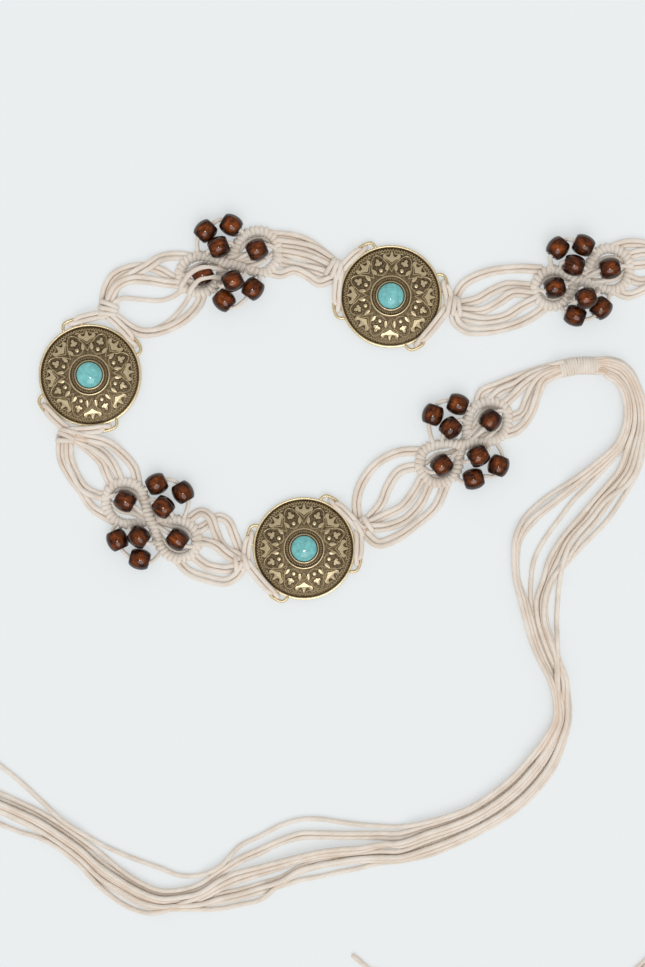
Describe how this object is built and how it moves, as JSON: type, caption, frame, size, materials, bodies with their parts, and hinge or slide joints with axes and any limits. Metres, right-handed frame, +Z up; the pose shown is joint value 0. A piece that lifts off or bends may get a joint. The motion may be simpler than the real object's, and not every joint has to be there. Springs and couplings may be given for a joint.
{
  "type": "western belt",
  "caption": "Knotted cotton cord belt with cast round conchos set with turquoise, wooden beads and long loose cord tails, laid flat.",
  "frame": {"origin": "middle of the flat back of the concho at the left, on the surface that the belt lies on", "axes": "+X to the right and +Y to the top of the picture, +Z up from the surface"},
  "size_m": [0.365, 0.3571, 0.0155],
  "materials": {
    "cotton_cord": "matt twisted cotton",
    "antique_brass": "dark antique, worn bright on top",
    "turquoise": "polished",
    "wood_beads": "varnished"
  },
  "bodies": {
    "root": {"concho_middle": "antique_brass", "stone_middle": "turquoise", "concho_upper": "antique_brass", "stone_upper": "turquoise", "concho_lower": "antique_brass", "stone_lower": "turquoise", "macrame_upper_left": "cotton_cord", "bead_upper_left_loop_left": "wood_beads", "bead_upper_left_loop_right": "wood_beads", "bead_upper_left_above_inner": "wood_beads", "bead_upper_left_above_left": "wood_beads", "bead_upper_left_above_right": "wood_beads", "bead_upper_left_below_inner": "wood_beads", "bead_upper_left_below_left": "wood_beads", "bead_upper_left_below_right": "wood_beads", "macrame_upper_right": "cotton_cord", "bead_upper_right_loop_left": "wood_beads", "bead_upper_right_loop_right": "wood_beads", "bead_upper_right_above_inner": "wood_beads", "bead_upper_right_above_left": "wood_beads", "bead_upper_right_above_right": "wood_beads", "bead_upper_right_below_inner": "wood_beads", "bead_upper_right_below_left": "wood_beads", "bead_upper_right_below_right": "wood_beads", "macrame_lower_left": "cotton_cord", "bead_lower_left_loop_left": "wood_beads", "bead_lower_left_loop_right": "wood_beads", "bead_lower_left_above_inner": "wood_beads", "bead_lower_left_above_left": "wood_beads", "bead_lower_left_above_right": "wood_beads", "bead_lower_left_below_inner": "wood_beads", "bead_lower_left_below_left": "wood_beads", "bead_lower_left_below_right": "wood_beads", "macrame_lower_right": "cotton_cord", "bead_lower_right_loop_left": "wood_beads", "bead_lower_right_loop_right": "wood_beads", "bead_lower_right_above_inner": "wood_beads", "bead_lower_right_above_left": "wood_beads", "bead_lower_right_above_right": "wood_beads", "bead_lower_right_below_inner": "wood_beads", "bead_lower_right_below_left": "wood_beads", "bead_lower_right_below_right": "wood_beads", "wrap_upper": "cotton_cord", "wrap_lower": "cotton_cord", "tail_upper": "cotton_cord", "tail_lower": "cotton_cord"}
  },
  "joints": []
}
